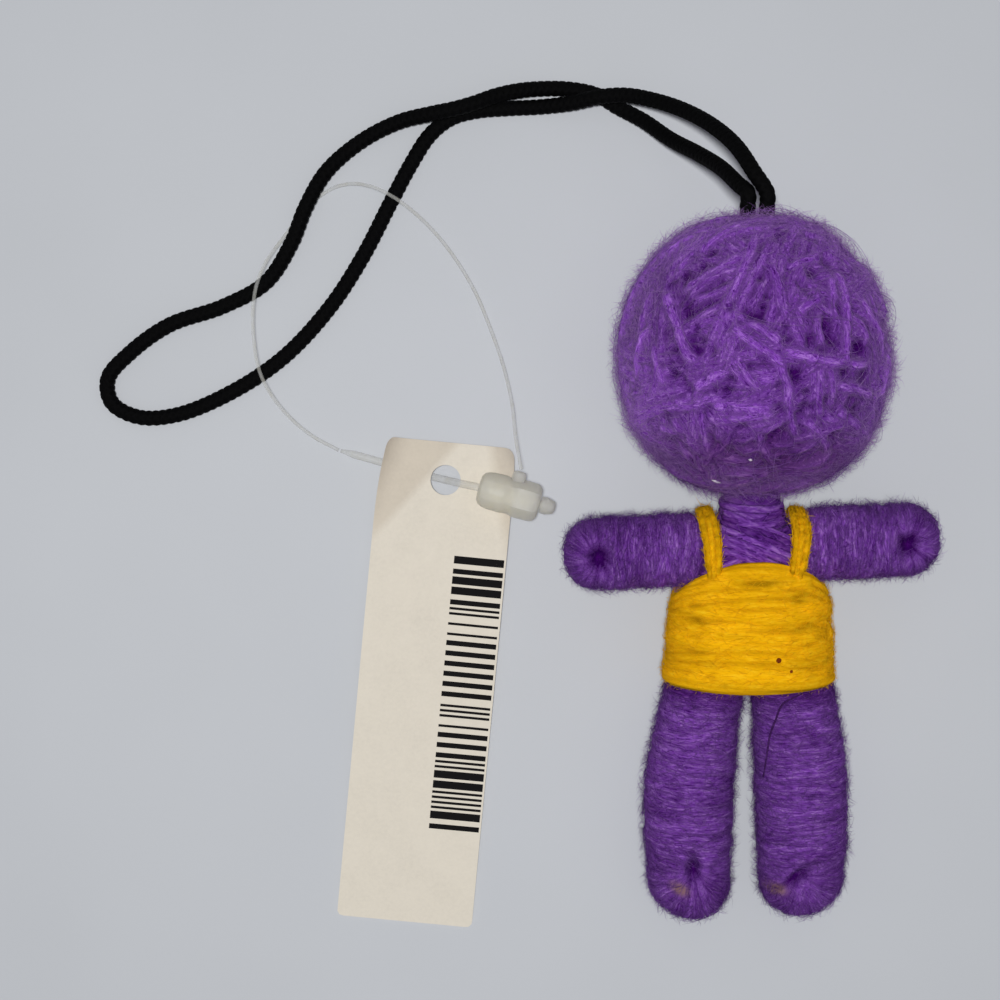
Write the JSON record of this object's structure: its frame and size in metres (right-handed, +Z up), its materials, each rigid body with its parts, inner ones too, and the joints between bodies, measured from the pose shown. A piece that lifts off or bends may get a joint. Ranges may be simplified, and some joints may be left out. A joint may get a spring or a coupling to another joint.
{
  "type": "voodoo doll",
  "caption": "Wound-yarn doll charm with ball head, bendable limbs, vest with straps, hanging cord loop and a card tag on a nylon loop fastener.",
  "frame": {"origin": "on the surface the doll lies on, under the middle of the doll without its cord and tag", "axes": "+Y along the body towards the head, +Z up out of the doll's front, +X across the body to the right of the picture"},
  "size_m": [0.1088, 0.1125, 0.0354],
  "materials": {
    "purple_yarn": "matte",
    "yellow_yarn": "matte",
    "wadding": "matte",
    "foam": "matte",
    "wire": "satin",
    "cord": "matte",
    "card": "matte",
    "nylon": "satin"
  },
  "bodies": {
    "torso": {"torso_core": "wadding", "spine_wire": "wire", "shoulder_wire": "wire", "neck_winding": "purple_yarn", "vest_sleeve": "yellow_yarn", "vest_winding": "yellow_yarn", "left_strap": "yellow_yarn", "right_strap": "yellow_yarn", "cord_knot": "cord", "hang_cord": "cord", "tag_lock": "nylon", "tag_stem": "nylon", "tag_loop": "nylon"},
    "head": {"head_ball": "foam", "head_underwrap": "purple_yarn", "head_winding": "purple_yarn"},
    "left_arm": {"left_arm_wire": "wire", "left_arm_core": "wadding", "left_arm_winding": "purple_yarn"},
    "right_arm": {"right_arm_wire": "wire", "right_arm_core": "wadding", "right_arm_winding": "purple_yarn"},
    "left_leg": {"left_leg_wire": "wire", "left_leg_core": "wadding", "left_leg_winding": "purple_yarn"},
    "right_leg": {"right_leg_wire": "wire", "right_leg_core": "wadding", "right_leg_winding": "purple_yarn"},
    "tag": {"tag_card": "card"}
  },
  "joints": [
    {"name": "neck_turn", "type": "hinge", "parent": "torso", "child": "head", "pos_m": [0, 0.00921, 0.01419], "axis": [0, 0.9845, 0.1754], "range_deg": [-30, 30]},
    {"name": "left_shoulder", "type": "hinge", "parent": "torso", "child": "left_arm", "pos_m": [-0.0086, 0.00301, 0.01309], "axis": [0, 0.1754, -0.9845], "range_deg": [-12, 40]},
    {"name": "right_shoulder", "type": "hinge", "parent": "torso", "child": "right_arm", "pos_m": [0.0086, 0.00378, 0.01323], "axis": [0, -0.1754, 0.9845], "range_deg": [-12, 40]},
    {"name": "left_hip", "type": "hinge", "parent": "torso", "child": "left_leg", "pos_m": [-0.0059, -0.01797, 0.00935], "axis": [-1, 0, 0], "range_deg": [0, 55]},
    {"name": "right_hip", "type": "hinge", "parent": "torso", "child": "right_leg", "pos_m": [0.0059, -0.01797, 0.00935], "axis": [-1, 0, 0], "range_deg": [0, 55]},
    {"name": "tag_swing", "type": "hinge", "parent": "torso", "child": "tag", "pos_m": [-0.0393, 0.012, 0.002], "axis": [0, 0, 1], "range_deg": [-25, 18]}
  ]
}
